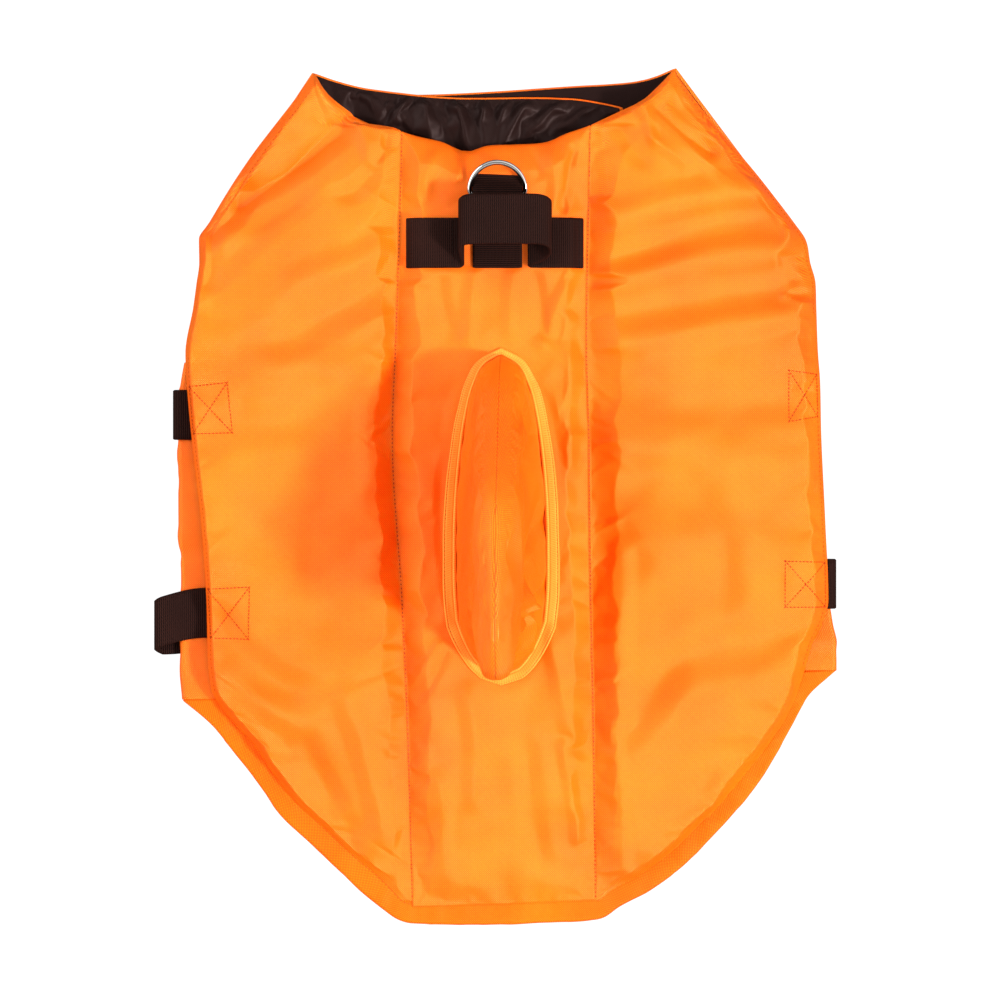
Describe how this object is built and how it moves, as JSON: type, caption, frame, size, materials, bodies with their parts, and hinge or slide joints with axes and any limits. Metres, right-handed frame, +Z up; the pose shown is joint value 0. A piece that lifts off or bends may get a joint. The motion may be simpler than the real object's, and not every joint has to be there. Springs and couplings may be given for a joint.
{
  "type": "dog life jacket",
  "caption": "Padded swim vest for a dog with a standing back fin, grab handle, D-ring and two buckled belly straps, laid flat.",
  "frame": {"origin": "on the surface the jacket lies on, below the middle of its outline", "axes": "+Y towards the neck, +X towards the right-hand edge seen from above, +Z up"},
  "size_m": [0.3559, 0.4446, 0.1348],
  "materials": {
    "orange_nylon": "satin",
    "black_lining": "satin",
    "black_webbing": "matte",
    "chrome": "polished",
    "buckle_plastic": "matte"
  },
  "bodies": {
    "jacket": {"back_channel_left": "orange_nylon", "back_channel_centre": "orange_nylon", "back_channel_right": "orange_nylon", "tail_hem": "orange_nylon", "chest_flap_left": "orange_nylon", "chest_flap_right": "orange_nylon", "chest_lining_left": "black_lining", "chest_lining_right": "black_lining", "belly_wing_left": "orange_nylon", "belly_wing_right": "orange_nylon", "fin_left": "orange_nylon", "fin_right": "orange_nylon", "fin_flange": "orange_nylon", "handle_strap": "black_webbing", "ring_tab": "black_webbing", "strap_upper_left": "black_webbing", "strap_upper_right": "black_webbing", "strap_lower_left": "black_webbing", "strap_lower_right": "black_webbing", "buckle_upper_socket": "buckle_plastic", "buckle_upper_plug": "buckle_plastic", "buckle_lower_socket": "buckle_plastic", "buckle_lower_plug": "buckle_plastic"},
    "ring": {"d_ring": "chrome"}
  },
  "joints": [
    {"name": "ring_hinge", "type": "hinge", "parent": "jacket", "child": "ring", "pos_m": [0.001, 0.1568, 0.02775], "axis": [1, 0, 0], "range_deg": [0, 68]}
  ]
}
